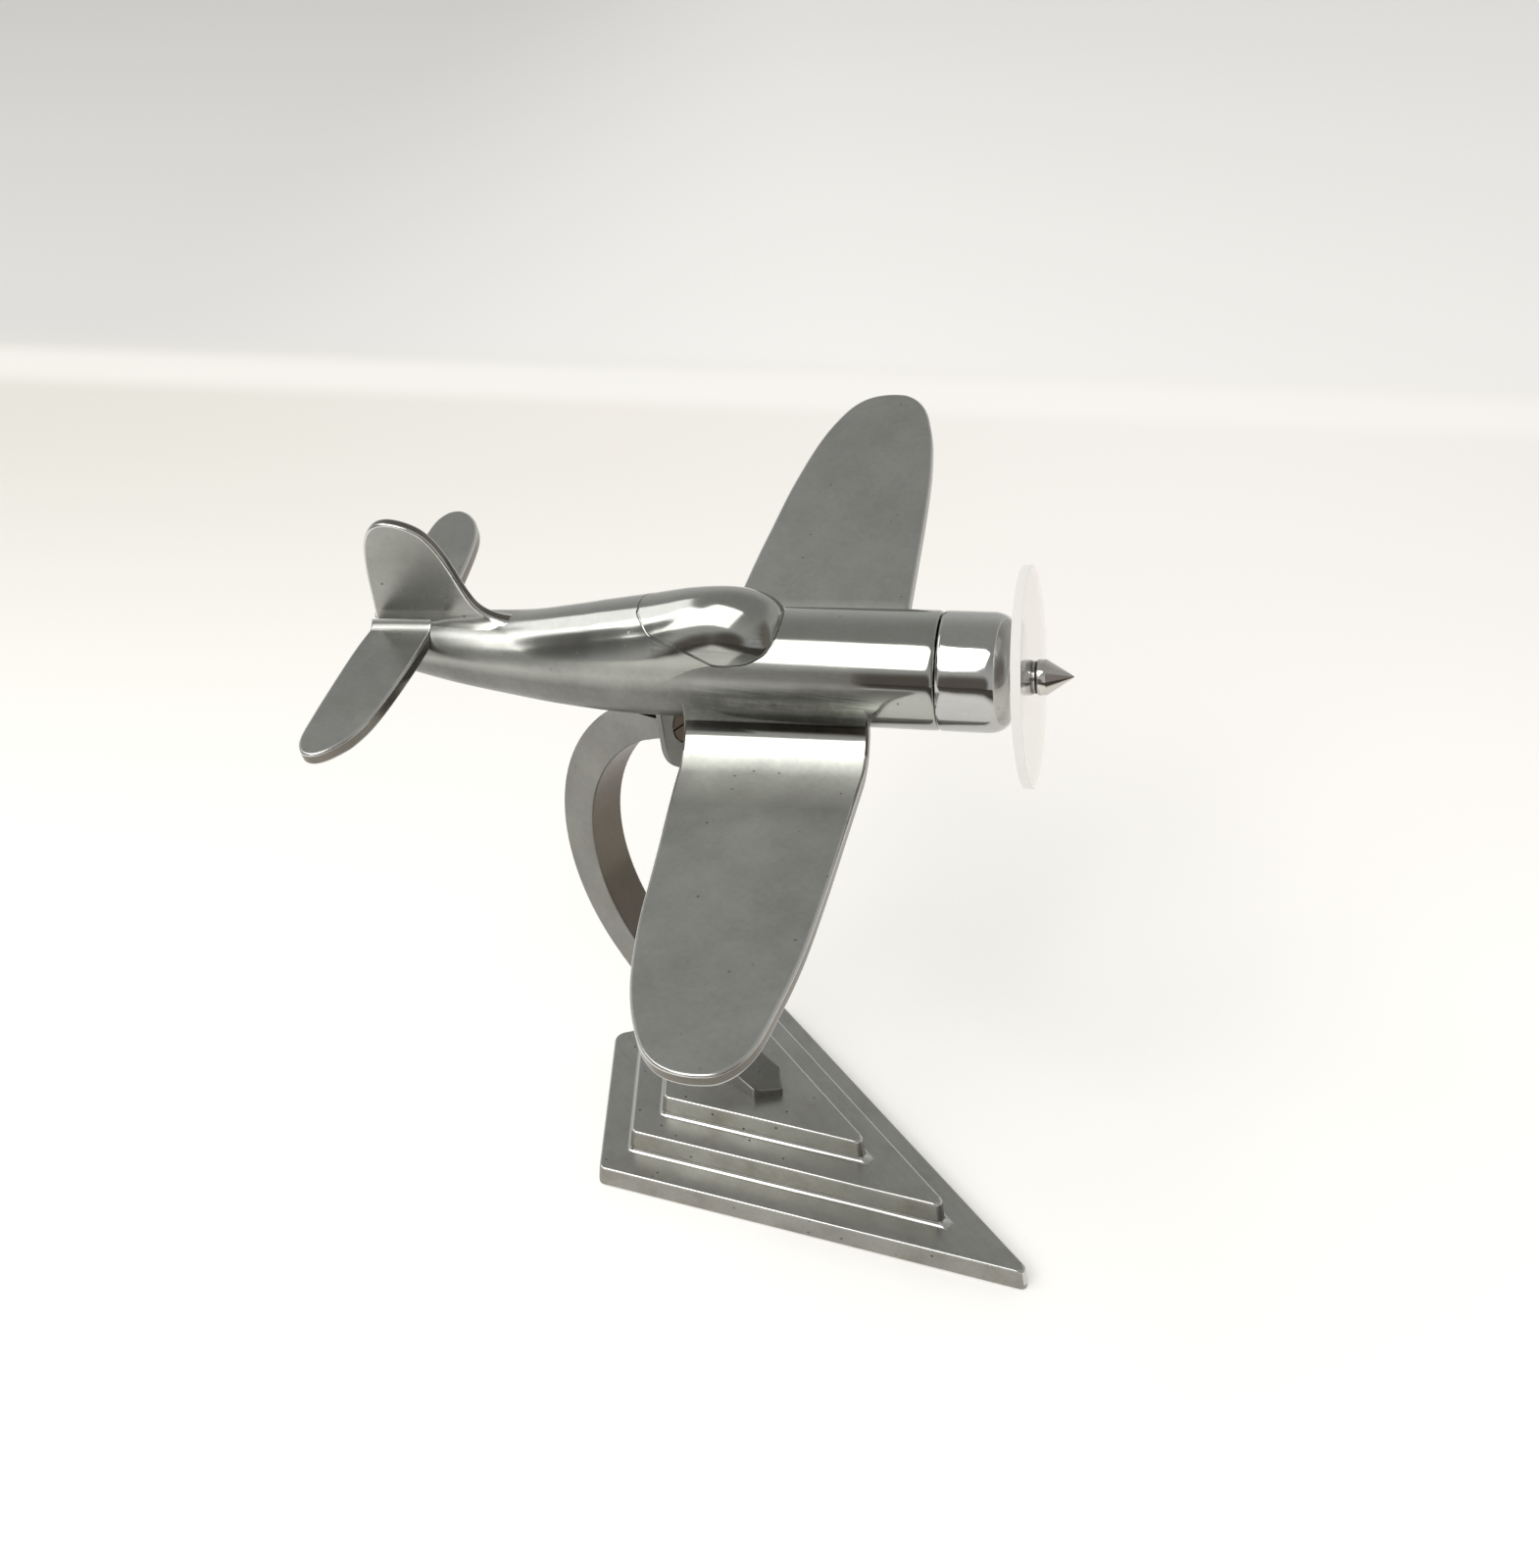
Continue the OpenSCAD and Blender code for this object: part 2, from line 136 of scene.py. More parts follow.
def spline(points, t):
    """A point on the smooth curve through the points, t counted in points."""
    i = min(int(t), len(points) - 2)
    p1, p2 = Vector(points[i]), Vector(points[i + 1])
    p0 = Vector(points[i - 1]) if i else 2 * p1 - p2
    p3 = Vector(points[i + 2]) if i + 2 < len(points) else 2 * p2 - p1
    lengths = [max(sqrt((b - a).length), 1e-6) for a, b in ((p0, p1), (p1, p2), (p2, p3))]
    m1 = (p1 - p0) / lengths[0] - (p2 - p0) / (lengths[0] + lengths[1]) + (p2 - p1) / lengths[1]
    m2 = (p2 - p1) / lengths[1] - (p3 - p1) / (lengths[1] + lengths[2]) + (p3 - p2) / lengths[2]
    m1, m2 = m1 * lengths[1], m2 * lengths[1]
    u = t - i
    return ((2 * u**3 - 3 * u**2 + 1) * p1 + (u**3 - 2 * u**2 + u) * m1
            + (3 * u**2 - 2 * u**3) * p2 + (u**3 - u**2) * m2)


def smooth_points(points, steps):
    """The same outline with steps points for each span."""
    count = (len(points) - 1) * steps
    return [spline(points, i / steps) for i in range(count + 1)]


def table_value(table, x, column):
    """Straight-line value from a table whose first column rises."""
    for low, high in zip(table, table[1:]):
        if x <= high[0]:
            return blend_value(low[column], high[column], fade(x, low[0], high[0]))
    return table[-1][column]


def body_at(x, table=FUSELAGE):
    """Height of the fuselage's middle and its radius, at a distance behind the disc."""
    return table_value(table, x, 1), table_value(table, x, 2)


def station(x, z, radius):
    """Places a unit circle across the airplane at x."""
    return Matrix.Translation((x, 0, z)) @ turned_by(90, "Y") @ Matrix.Diagonal((radius, radius, 1, 1))


def ring(bm, matrix, count):
    verts = bmesh.ops.create_circle(bm, cap_ends=False, segments=count, radius=1, matrix=matrix)["verts"]
    return verts, list({edge for vert in verts for edge in vert.link_edges})


def point_ring(bm, points):
    """A closed ring through the points."""
    verts = [bm.verts.new(point) for point in points]
    return verts, [bm.edges.new(pair) for pair in zip(verts, verts[1:] + verts[:1])]


def bridge_rings(bm, rings, looped=False):
    """A skin over the rings, which closes on itself or is capped at both ends."""
    following = rings[1:] + rings[:1] if looped else rings[1:]
    for (_, first), (_, second) in zip(rings, following):
        bmesh.ops.bridge_loops(bm, edges=first + second)
    if not looped:
        for verts, _ in (rings[0], rings[-1]):
            bm.faces.new(verts)
    bmesh.ops.recalc_face_normals(bm, faces=bm.faces)
    return bm


def turned(profile, steps=96):
    """A solid turned about z from (radius, height) points; the ends lie on the axis."""
    bm = bmesh.new()
    verts = [bm.verts.new((r, 0, z)) for r, z in profile]
    edges = [bm.edges.new(pair) for pair in zip(verts, verts[1:])]
    bmesh.ops.spin(bm, geom=verts + edges, cent=(0, 0, 0), axis=(0, 0, 1), angle=2 * pi, steps=steps,
                   use_merge=True)
    bmesh.ops.remove_doubles(bm, verts=bm.verts, dist=1e-4)
    bmesh.ops.recalc_face_normals(bm, faces=bm.faces)
    return bm


def rod(radius, low, high, steps):
    """A cylinder along z."""
    return turned([(0, low), (radius, low), (radius, high), (0, high)], steps)


def round_edges(bm, edges, radius):
    bmesh.ops.bevel(bm, geom=edges, offset=radius, offset_type="OFFSET", segments=3, profile=0.5,
                    affect="EDGES", material=-1, clamp_overlap=False)
    bm.normal_update()


def plate(points, thickness, edge):
    """A slab from z 0 down to -thickness over an outline in x and y, with rounded rims."""
    bm = bmesh.new()
    top = bm.faces.new([bm.verts.new((p[0], p[1], 0)) for p in points])
    if top.normal.z < 0:
        top.normal_flip()
    moved = bmesh.ops.extrude_face_region(bm, geom=[top])["geom"]
    lower = [item for item in moved if isinstance(item, bmesh.types.BMVert)]
    bmesh.ops.translate(bm, vec=(0, 0, -thickness), verts=lower)
    bmesh.ops.recalc_face_normals(bm, faces=bm.faces)
    bm.normal_update()
    rims = [e for e in bm.edges if abs(e.verts[0].co.z - e.verts[1].co.z) < 1e-6]
    round_edges(bm, rims, edge)
    # Rims take finish 1 and rounded edges finish 2: on the airplane the rims' painted reflection and the
    # edges' painted highlight
    for face in bm.faces:
        face.material_index = 1 if abs(face.normal.z) < 0.15 else 2 if abs(face.normal.z) < 0.97 else 0
    return bm


def cuts(bm, axis, places):
    """Edge loops across the slab at each place along the axis."""
    normal = Vector((axis == 0, axis == 1, axis == 2))
    for place in places:
        bmesh.ops.bisect_plane(bm, geom=bm.verts[:] + bm.edges[:] + bm.faces[:], plane_co=normal * place,
                               plane_no=normal, dist=1e-5)


def put_in(target, part, matrix=None, material=None):
    """Adds a part's mesh to the target, placed and with its material, and frees it."""
    if matrix is not None:
        placed(part, matrix)
    if material is not None:
        for face in part.faces:
            face.material_index = material
    mesh = bpy.data.meshes.new("part")
    part.to_mesh(mesh)
    part.free()
    target.from_mesh(mesh)
    bpy.data.meshes.remove(mesh)


def placed(bm, matrix):
    bmesh.ops.transform(bm, matrix=matrix, verts=bm.verts)
    return bm


def new_object(name, bm):
    """An object in the scene with the bmesh's shape, which is freed."""
    mesh = bpy.data.meshes.new(name)
    bm.to_mesh(mesh)
    bm.free()
    made = bpy.data.objects.new(name, mesh)
    bpy.context.scene.collection.objects.link(made)
    return made


def make_piece(bm, name, body, materials, sharp=35, weighted=False):
    """A finished, smooth-shaded object that rides on its body and stands for the node of its name."""
    for face in bm.faces:
        face.smooth = True
    piece = new_object(name, bm)
    piece.data.set_sharp_from_angle(angle=radians(sharp))
    for material in materials:
        piece.data.materials.append(MATERIALS[material])
    if weighted:
        modifier = piece.modifiers.new("even normals", "WEIGHTED_NORMAL")
        modifier.keep_sharp = True
        modifier.weight = 60
    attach(piece, body)
    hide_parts(name)
    return piece


def cut_away(piece_bm, tool_bm):
    """The first mesh less the second."""
    objects = [new_object("cut", bm) for bm in (piece_bm, tool_bm)]
    modifier = objects[0].modifiers.new("cut", "BOOLEAN")
    modifier.operation = "DIFFERENCE"
    modifier.solver = "EXACT"
    modifier.object = objects[1]
    graph = bpy.context.evaluated_depsgraph_get()
    mesh = bpy.data.meshes.new_from_object(objects[0].evaluated_get(graph))
    result = bmesh.new()
    result.from_mesh(mesh)
    bpy.data.meshes.remove(mesh)
    for used in objects:
        data = used.data
        bpy.data.objects.remove(used)
        bpy.data.meshes.remove(data)
    return result


class Nodes:
    """Short names for building a node tree."""

    def __init__(self, tree):
        self.tree = tree

    def add(self, kind, inputs=(), **settings):
        node = self.tree.nodes.new(kind)
        for key, value in settings.items():
            setattr(node, key, value)
        self.fill(node, dict(inputs))
        return node

    def fill(self, node, inputs):
        """Links each named input to a socket, or sets it to a value."""
        for name, value in inputs.items():
            if isinstance(value, bpy.types.NodeSocket):
                self.tree.links.new(value, node.inputs[name])
            else:
                node.inputs[name].default_value = value

    def math(self, operation, a, b=0.0, clamp=False):
        return self.add("ShaderNodeMath", {0: a, 1: b}, operation=operation, use_clamp=clamp).outputs[0]

    def product(self, *factors, clamp=False):
        value = factors[0]
        for factor in factors[1:]:
            value = self.math("MULTIPLY", value, factor, clamp)
        return value

    def total(self, *values):
        value = values[0]
        for addend in values[1:]:
            value = self.math("ADD", value, addend)
        return value

    def centred(self, value):
        return self.math("SUBTRACT", value, 0.5)

    def here(self):
        """The place on the piece, in the shared frame."""
        return self.add("ShaderNodeTexCoord").outputs["Object"]

    def noise(self, place, scale, detail, roughness=0.5):
        inputs = {"Vector": place, "Scale": scale, "Detail": detail, "Roughness": roughness}
        return self.add("ShaderNodeTexNoise", inputs).outputs[0]

    def field(self, name):
        """A value that the mesh carries at each point."""
        return self.add("ShaderNodeAttribute", attribute_name=name).outputs["Fac"]

    def along(self, place, direction):
        """How far a place lies in a direction."""
        node = self.add("ShaderNodeVectorMath", {0: place, 1: direction}, operation="DOT_PRODUCT")
        return node.outputs["Value"]

    def mix(self, factor, a, b):
        """A blend of two colours, which a Mix node takes at its sockets 6 and 7."""
        node = self.add("ShaderNodeMix", {0: factor, 6: a, 7: b}, data_type="RGBA", clamp_factor=True)
        return node.outputs[2]

    def ramp(self, factor, low, high, out_low=0.0, out_high=1.0):
        """A smooth change from one number to another as the factor goes from low to high."""
        inputs = {"Value": factor, "From Min": low, "From Max": high, "To Min": out_low, "To Max": out_high}
        return self.add("ShaderNodeMapRange", inputs, interpolation_type="SMOOTHSTEP").outputs[0]


def new_group(name, inputs, outputs):
    tree = bpy.data.node_groups.new(name, "ShaderNodeTree")
    for label, kind, value in inputs:
        socket = tree.interface.new_socket(label, in_out="INPUT", socket_type=kind)
        socket.default_value = value
    for label, kind in outputs:
        tree.interface.new_socket(label, in_out="OUTPUT", socket_type=kind)
    return tree, tree.nodes.new("NodeGroupInput"), tree.nodes.new("NodeGroupOutput")


def cast_metal_group():
    """Cloudiness, brushing, pits and grime of an old hand-finished casting, with painted shade and a painted
    highlight where asked.
    """
    inputs = [("Turn", "NodeSocketVector", (0, 0, 0)), ("Color", "NodeSocketColor", (0.5, 0.5, 0.5, 1)),
              ("Stain", "NodeSocketColor", (0.3, 0.25, 0.2, 1))]
    values = {"Cloud": 0.2, "Brushing": 0.3, "Pits": 0.5, "Staining": 0.1, "Roughness": 0.2, "Streaks": 0.0,
              "Grime, shade and highlight": 0.0}
    inputs += [(label, "NodeSocketFloat", value) for label, value in values.items()]
    outputs = [("Color", "NodeSocketColor"), ("Roughness", "NodeSocketFloat"), ("Height", "NodeSocketFloat")]
    tree, source, out = new_group("cast metal", inputs, outputs)
    n = Nodes(tree)
    where = n.here()
    given = source.outputs
    cloud = n.noise(where, 42.0, 6.0, 0.62)
    speckle = n.noise(where, 520.0, 4.0, 0.7)
    grain = n.noise(where, 1800.0, 2.0)
    patch = n.noise(where, 60.0, 5.0, 0.7)
    turned_place = n.add("ShaderNodeMapping", {"Vector": where, "Rotation": given["Turn"]}).outputs[0]
    stretch = n.add("ShaderNodeMapping", {"Vector": turned_place, "Scale": (28.0, 900.0, 900.0)}).outputs[0]
    lines = n.noise(stretch, 1.0, 4.0, 0.6)
    cells = n.add("ShaderNodeTexVoronoi", {"Vector": where, "Scale": 260.0, "Randomness": 1.0})
    chosen = n.add("ShaderNodeSeparateXYZ", {"Vector": cells.outputs["Color"]}).outputs["X"]
    dots = n.product(n.ramp(cells.outputs["Distance"], 0.17, 0.06), n.ramp(chosen, 0.86, 0.93))
    pits = n.product(dots, given["Pits"], clamp=True)
    shade = n.product(n.centred(cloud), given["Cloud"])
    marks = n.product(n.centred(lines), given["Brushing"])
    fine = n.product(n.centred(speckle), given["Cloud"])
    # Below zero this input paints a highlight: it lifts the tone and smooths the metal
    bright = n.math("MINIMUM", given["Grime, shade and highlight"], 0.0)
    tone = n.total(1.0, n.product(shade, 1.6), n.product(marks, 0.5), n.product(fine, 0.7))
    tone = n.product(tone, n.math("SUBTRACT", 1.0, bright))
    toned = n.add("ShaderNodeVectorMath", {0: given["Color"], "Scale": tone}, operation="SCALE")
    stain = n.product(n.ramp(patch, 0.45, 0.72), given["Staining"], clamp=True)
    # Above zero the input darkens the colour, for grime and for painted shade
    grime_and_shade = n.product(given["Grime, shade and highlight"], n.total(0.55, n.product(patch, 0.9)), clamp=True)
    streak = n.ramp(n.total(lines, n.product(patch, 0.3)), 0.5, 0.78)
    color = n.mix(stain, toned.outputs[0], given["Stain"])
    color = n.mix(grime_and_shade, color, (0.06, 0.06, 0.055, 1))
    color = n.mix(n.product(streak, given["Streaks"], clamp=True), color, (0.07, 0.07, 0.065, 1))
    color = n.mix(n.product(pits, 0.85), color, (0.04, 0.035, 0.03, 1))
    rough = n.total(given["Roughness"], n.product(shade, -0.35), n.product(marks, 0.3),
                    n.product(bright, -0.13))
    rough = n.math("ADD", rough, n.product(pits, 0.4), clamp=True)
    height = n.total(n.product(marks, 0.5), n.product(n.centred(grain), 0.2))
    n.fill(out, {"Color": color, "Roughness": rough, "Height": n.math("SUBTRACT", height, pits)})
    return tree


def new_material(name):
    """A material with a builder for its nodes and its shader."""
    material = bpy.data.materials.new(name)
    material.use_nodes = True
    return material, Nodes(material.node_tree), material.node_tree.nodes["Principled BSDF"]


def shaded(color, factor):
    return (*[channel * factor for channel in color], 1)


def metal(name, group, color, roughness, cloud, brushing, pits, staining=0.1, turn=(0, 0, 0), bump=0.05,
          stain=(0.22, 0.195, 0.165), polished=None):
    """A metal finish; polished gives the roughness where the mesh's polish attribute is 1."""
    material, n, shader = new_material(name)
    marks = n.add("ShaderNodeGroup", node_tree=group)
    n.fill(marks, {"Cloud": cloud, "Brushing": brushing, "Pits": pits, "Turn": turn, "Color": (*color, 1),
                   "Stain": (*stain, 1), "Staining": staining, "Roughness": roughness})
    if polished is not None:
        polish = n.field("polish")
        n.fill(marks, {"Roughness": n.ramp(polish, 0.0, 1.0, roughness, polished),
                       "Brushing": n.ramp(polish, 0.0, 1.0, brushing, brushing * 0.35),
                       "Cloud": n.ramp(polish, 0.0, 1.0, cloud, cloud * 0.5),
                       "Streaks": n.field("streaks"), "Grime, shade and highlight": n.field("grime_shade_and_highlight")})
    given = marks.outputs
    relief = n.add("ShaderNodeBump", {"Height": given["Height"], "Strength": bump, "Distance": 0.0004})
    n.fill(shader, {"Base Color": given["Color"], "Roughness": given["Roughness"],
                    "Normal": relief.outputs[0], "Metallic": 1.0})
    return material


def plain(name, color, roughness, metallic=0.0):
    """A lightly clouded finish for the small fittings and the felt."""
    material, n, shader = new_material(name)
    cloud = n.noise(n.here(), 300.0, 3.0)
    n.fill(shader, {"Base Color": n.mix(n.ramp(cloud, 0.3, 0.7), shaded(color, 0.85), (*color, 1)),
                    "Roughness": n.ramp(cloud, 0.3, 0.7, roughness * 0.85, roughness * 1.1),
                    "Metallic": metallic})
    return material


def acrylic(name, roughness, color, clearness=1.0, glow=0.0):
    """Clear plastic; glow stands for the light that a sawn edge gathers from the sheet."""
    material, n, shader = new_material(name)
    scuffs = n.noise(n.here(), 260.0, 5.0)
    n.fill(shader, {"Roughness": n.ramp(scuffs, 0.35, 0.75, roughness, roughness * 1.5 + 0.02),
                    "Base Color": (*color, 1), "Transmission Weight": clearness, "IOR": 1.49,
                    "Emission Color": (1.0, 0.98, 0.93, 1)})
    if glow:
        inside = n.add("ShaderNodeNewGeometry").outputs["Backfacing"]
        n.fill(shader, {"Emission Strength": n.ramp(inside, 0.0, 1.0, glow, glow * 1.5)})
    return material


def wing_outline(side):
    """The wing's edges; each wing of the casting differs a little from their mean."""
    front = [(x + side * 1.2 * fade(y, 156, 131), y) for x, y in WING_FRONT]
    back = [(x - side * 0.9 * fade(y, 120, 70), y) for x, y in WING_BACK]
    return smooth_points(front + back, 4)


def wing_section(y, sizes):
    """Way along the wing's upper face from its root to the span position y."""
    slope = sizes.dihedral
    middle = sizes.bend_middle
    flat_from = middle + sizes.root_bend * sin(slope)
    if y >= flat_from:
        return sizes.root_bend * (pi / 2 + slope) + (y - flat_from) / cos(slope)
    return sizes.root_bend * acos(max(-1, min(1, (middle - y) / sizes.root_bend)))


def wing_mesh(side, sizes):
    """One wing in the airplane's frame: a flat panel whose root bends up to meet the fuselage."""
    outline = []
    for x, y in wing_outline(side):
        # The outline's ends run 4 mm past the bend, into the fuselage
        inside = 4 if y < 18 else 0
        outline.append((x, wing_section(max(y, 18.31), sizes) - inside))
    bm = plate(outline, sizes.wing_thickness, sizes.edge_round)
    radius = sizes.root_bend
    slope = sizes.dihedral
    turn = pi / 2 + slope
    start = radius * ROOT_LEAN
    cuts(bm, 1, [radius * (turn * i / 32) for i in range(33)] + [start, 40, 60, 90, 120])
    cuts(bm, 0, range(-104, -48, 5))
    for vert in bm.verts:
        way, depth = vert.co.y, -vert.co.z
        body, body_radius = body_at(-vert.co.x)
        touch = sqrt((body_radius + radius) ** 2 - (sizes.bend_height - body) ** 2)
        middle = Vector((sizes.bend_middle, sizes.bend_height))
        # Near the root the bend moves sideways, so that it meets the fuselage all along
        middle.x += (touch - middle.x - 0.006) * fade(way, 27.5, 5.5)
        if way > radius * turn:
            down = Vector((sin(slope), -cos(slope)))
            outward = Vector((cos(slope), sin(slope)))
            place = middle + down * (radius + depth) + outward * (way - radius * turn)
        else:
            angle = pi + max(way, start) / radius
            place = middle + Vector((cos(angle), sin(angle))) * (radius + depth)
            place.x += min(way - start, 0) * 0.7
        vert.co.y, vert.co.z = side * place.x, place.y
    # Near the root the rounded edges take the rim's finish too, with its painted reflection
    for face in bm.faces:
        if face.material_index == 2 and abs(face.calc_center_median().y) < 26:
            face.material_index = 1
    if side > 0:
        bmesh.ops.reverse_faces(bm, faces=bm.faces)
    return bm


def stabilizer_mesh(side, sizes):
    """Half of the tailplane, whose upper face curves up into the fin."""
    outline = [(p[0], p[1]) for p in smooth_points(STABILIZER, 5)]
    bm = plate(outline, sizes.tail_thickness, sizes.edge_round)
    radius = STABILIZER_RADIUS
    reach = STABILIZER_FOOT + radius
    cuts(bm, 1, [reach - radius * sin(radians(a)) for a in range(0, 84, 6)])
    for vert in bm.verts:
        y = vert.co.y
        depth = -vert.co.z / sizes.tail_thickness
        near = max(0.0, min(reach - y, radius * 0.99))
        lift = radius - sqrt(radius**2 - near**2)
        vert.co.z += STABILIZER_HEIGHT + blend_value(lift, 0.0, fade(depth, 0, 1))
        vert.co.y = side * y
    if side < 0:
        bmesh.ops.reverse_faces(bm, faces=bm.faces)
    return bm


def fin_mesh(sizes):
    """The fin, whose sides curve out to meet the body's crown."""
    outline = [(p[0], p[1]) for p in smooth_points(FIN, 5)]
    bm = plate(outline, sizes.fin_thickness, sizes.edge_round)
    bmesh.ops.translate(bm, vec=(0, 0, sizes.fin_thickness / 2), verts=bm.verts)
    bmesh.ops.rotate(bm, matrix=Matrix.Rotation(radians(90), 3, "X"), verts=bm.verts)
    cuts(bm, 2, range(15, 31))
    cuts(bm, 0, range(-214, -160, 2))
    for vert in bm.verts:
        radius = blend_value(1.5, 6.0, fade(vert.co.x, -196, -178))
        radius = blend_value(radius, 2.0, fade(vert.co.x, -178, -168))
        reach = sizes.fin_thickness / 2 + radius
        body, body_radius = body_at(-vert.co.x)
        start = body + sqrt(max((body_radius + radius) ** 2 - reach**2, 1))
        drop = start - vert.co.z
        if drop > 0:
            spread = radius * (1 - sqrt(1 - min(drop / radius, 0.97) ** 2))
            vert.co.y += spread * vert.co.y / (sizes.fin_thickness / 2)
    return bm


# The fuselage's stations on the smooth curve through the table: the skin's own rings
BODY_ROWS = smooth_points(FUSELAGE, 5)


def fuselage_skin():
    bm = bmesh.new()
    return bridge_rings(bm, [ring(bm, station(-x, height, radius), 128) for x, height, radius in BODY_ROWS])


def flank(end, count=40):
    """Half a section, one long, whose slope grows to the end angle, fastest at the crown."""
    turns = [((i / count) ** 1.5, ((i + 1) / count) ** 1.5) for i in range(count)]
    points = [Vector((0, 0))]
    for low, high in turns:
        angle = end * (((low + high) / 2 + 0.05) ** 0.62 - 0.156) / 0.875
        points.append(points[-1] + Vector((cos(angle), -sin(angle))) * (high - low))
    return points


def canopy_section(row):
    """One section of canopy or spine, from inside the body up the flank to the crown."""
    x, half, top = row
    body, body_radius = body_at(x, BODY_ROWS)
    body_radius += 0.06
    merged = fade(x, 96, 126)
    merged *= merged * (3 - 2 * merged)
    low, high = 0.05, 1.56
    for _ in range(30):
        end = (low + high) / 2
        shape = flank(end)[-1]
        place = blend_value(asin(half / body_radius), end, merged)
        foot = Vector((body_radius * sin(place), body + body_radius * cos(place)))
        if shape.x * (top - foot.y) + shape.y * foot.x > 0:
            low = end
        else:
            high = end
    size = foot.x / shape.x
    side = [Vector((0, top)) + point * size for point in reversed(flank(end))]
    inner = Vector((foot.x * 0.7, body))
    return [side[0].lerp(inner, 0.5), side[0].lerp(inner, 0.25)] + side


def canopy_skin():
    """Canopy and the spine behind it, in one skin that sinks into the fuselage."""
    bm = bmesh.new()
    rings = []
    for row in smooth_points(CANOPY, 8):
        side = canopy_section(row)
        points = [(-p.x, p.y) for p in side] + [(p.x, p.y) for p in reversed(side[:-1])]
        rings.append(point_ring(bm, [(-row[0], *point) for point in points]))
    return bridge_rings(bm, rings)


def canopy_height(x, y, rows):
    """Height of the canopy's surface at a distance from the centre line."""
    side = canopy_section((x, table_value(rows, x, 1), table_value(rows, x, 2)))[2:]
    for low, high in zip(side, side[1:]):
        if high.x <= y <= low.x:
            return blend_value(low.y, high.y, (low.x - y) / max(low.x - high.x, 1e-6))
    return side[0].y


def scribed_tool(radius):
    """A closed tube along the line round the canopy."""
    rows = smooth_points(CANOPY, 4)
    half = [Vector((-x, -y, canopy_height(x, y, rows))) for x, y in smooth_points(SCRIBED, 6)]
    path = half + [Vector((p.x, -p.y, p.z)) for p in reversed(half[1:-1])]
    bm = bmesh.new()
    rings = []
    for i, place in enumerate(path):
        along = path[(i + 1) % len(path)] - path[i - 1]
        turn = along.to_track_quat("Z", "Y").to_matrix().to_4x4()
        rings.append(ring(bm, Matrix.Translation(place) @ turn @ Matrix.Scale(radius, 4), 10))
    return bridge_rings(bm, rings, looped=True)


class SculptureSizes(bpy.types.PropertyGroup):
    """Sizes of the castings, with lengths in millimetres."""

    wing_thickness: FloatProperty(name="Wing thickness", description="Thickness of the wing slab",
                                  default=4.2)
    tail_thickness: FloatProperty(name="Tailplane thickness", description="Thickness of the tailplane",
                                  default=4.5)
    fin_thickness: FloatProperty(name="Fin thickness", description="Thickness of the fin", default=3.6)
    edge_round: FloatProperty(name="Edge rounding", description="Radius of the plates' rims", default=0.85)
    root_bend: FloatProperty(name="Root bend", description="Radius of the bend at the wing's root",
                             default=14)
    bend_middle: FloatProperty(name="Bend place", description="Middle of the bend from the centre line",
                               default=32.3)
    bend_height: FloatProperty(name="Bend height", description="Height of the middle of the bend",
                               default=1.5)
    dihedral: FloatProperty(name="Dihedral", description="Rise of the wings", subtype="ANGLE",
                            default=radians(8.8))
    groove: FloatProperty(name="Canopy line", description="Radius of the line round the canopy",
                          default=0.42)


class SculptureColors(bpy.types.PropertyGroup):
    """Colours of the finishes."""

    polished: FloatVectorProperty(name="Polished", description="Polished aluminium", subtype="COLOR",
                                  default=(0.46, 0.46, 0.45))
    brushed: FloatVectorProperty(name="Brushed", description="Brushed aluminium", subtype="COLOR",
                                 default=(0.375, 0.38, 0.355))
    # Painted reflection: the rims' dark brown stands for what they mirror
    rim: FloatVectorProperty(name="Rims", description="Rims of the wings and tail, darkened as painted reflection", subtype="COLOR",
                             default=(0.17, 0.158, 0.14))
    # Painted highlight: rounded edges and the feet of the steps lighter than the faces
    edge: FloatVectorProperty(name="Edges painted bright", description="Rounded edges and feet, lightened as painted highlight", subtype="COLOR",
                              default=(0.56, 0.56, 0.54))
    cast: FloatVectorProperty(name="Cast", description="Level faces of the base", subtype="COLOR",
                              default=(0.39, 0.392, 0.37))
    # Painted shade: the risers are a darker copy of the level faces' colour
    side: FloatVectorProperty(name="Base sides", description="Risers of the base, darker as painted shade, with brown stains", subtype="COLOR",
                              default=(0.30, 0.297, 0.275))
    floor: FloatVectorProperty(name="Floor", description="Table and sweep", subtype="COLOR",
                               default=(0.93, 0.92, 0.90))


